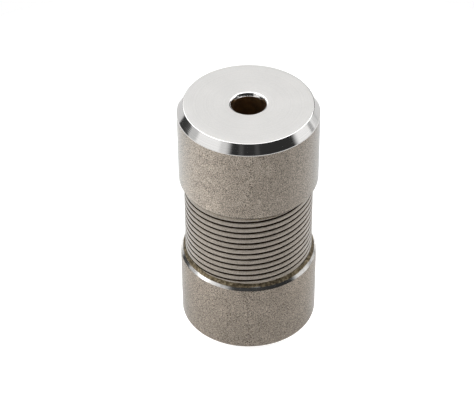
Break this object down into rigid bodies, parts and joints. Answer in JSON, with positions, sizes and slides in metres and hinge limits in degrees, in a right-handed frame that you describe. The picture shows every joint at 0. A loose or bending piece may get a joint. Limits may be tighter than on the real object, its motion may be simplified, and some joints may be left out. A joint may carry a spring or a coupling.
{
  "type": "flexible shaft coupling",
  "caption": "Small flexible shaft coupling: bored, chamfered steel hubs joined by a close-wound pack of flat wires that bends, stretches and winds up a little.",
  "frame": {"origin": "centre of the lower hub's end face, on the shaft axis", "axes": "+Z along the shaft axis towards the upper hub; the set screws are on the +Y side, at 45 degrees either side of +Y"},
  "size_m": [0.026, 0.026, 0.0503],
  "materials": {
    "hub_steel": "bare turned steel, fine grey grain, bright faced ends and polished chamfers",
    "wire_steel": "bare ground spring steel with fine lines round the axis",
    "braze_alloy": "golden brown braze metal, slightly lumpy",
    "screw_steel": "black oxide, slightly oily"
  },
  "bodies": {
    "lower_end": {"lower_hub": "hub_steel", "lower_outer_braze_ring": "braze_alloy", "lower_inner_braze_ring": "braze_alloy", "lower_set_screw_1": "screw_steel", "lower_set_screw_2": "screw_steel"},
    "pack_section_1": {"outer_wire_1": "wire_steel", "outer_wire_2": "wire_steel"},
    "pack_section_2": {"outer_wire_3": "wire_steel", "middle_wire_1": "wire_steel"},
    "pack_section_3": {"middle_wire_2": "wire_steel"},
    "pack_section_4": {"middle_wire_3": "wire_steel", "inner_wire_1": "wire_steel"},
    "pack_section_5": {"inner_wire_2": "wire_steel", "inner_wire_3": "wire_steel"},
    "upper_end": {"upper_hub": "hub_steel", "upper_outer_braze_ring": "braze_alloy", "upper_inner_braze_ring": "braze_alloy", "upper_set_screw_1": "screw_steel", "upper_set_screw_2": "screw_steel"}
  },
  "joints": [
    {"name": "lower_bend_x", "type": "hinge", "parent": "lower_end", "child": "pack_section_1", "pos_m": [0, 0, 0.01915], "axis": [1, 0, 0], "range_deg": [-1.5, 1.5], "stiffness_Nm_per_rad": 2},
    {"name": "lower_bend_y", "type": "hinge", "parent": "pack_section_1", "child": "pack_section_2", "pos_m": [0, 0, 0.02185], "axis": [0, 1, 0], "range_deg": [-1.5, 1.5], "stiffness_Nm_per_rad": 2},
    {"name": "stretch", "type": "slide", "parent": "pack_section_2", "child": "pack_section_3", "axis": [0, 0, 1], "range_m": [-0.0004, 0.0004], "stiffness_N_per_m": 20000, "deforming": ["outer_wire_1", "outer_wire_2", "outer_wire_3", "middle_wire_1", "middle_wire_2", "middle_wire_3", "inner_wire_1", "inner_wire_2", "inner_wire_3"]},
    {"name": "wind_up", "type": "hinge", "parent": "pack_section_3", "child": "pack_section_4", "pos_m": [0, 0, 0.02645], "axis": [0, 0, 1], "range_deg": [-1.5, 1.5], "stiffness_Nm_per_rad": 100},
    {"name": "upper_bend_y", "type": "hinge", "parent": "pack_section_4", "child": "pack_section_5", "pos_m": [0, 0, 0.02845], "axis": [0, 1, 0], "range_deg": [-1.5, 1.5], "stiffness_Nm_per_rad": 2},
    {"name": "upper_bend_x", "type": "hinge", "parent": "pack_section_5", "child": "upper_end", "pos_m": [0, 0, 0.03115], "axis": [1, 0, 0], "range_deg": [-1.5, 1.5], "stiffness_Nm_per_rad": 2}
  ]
}
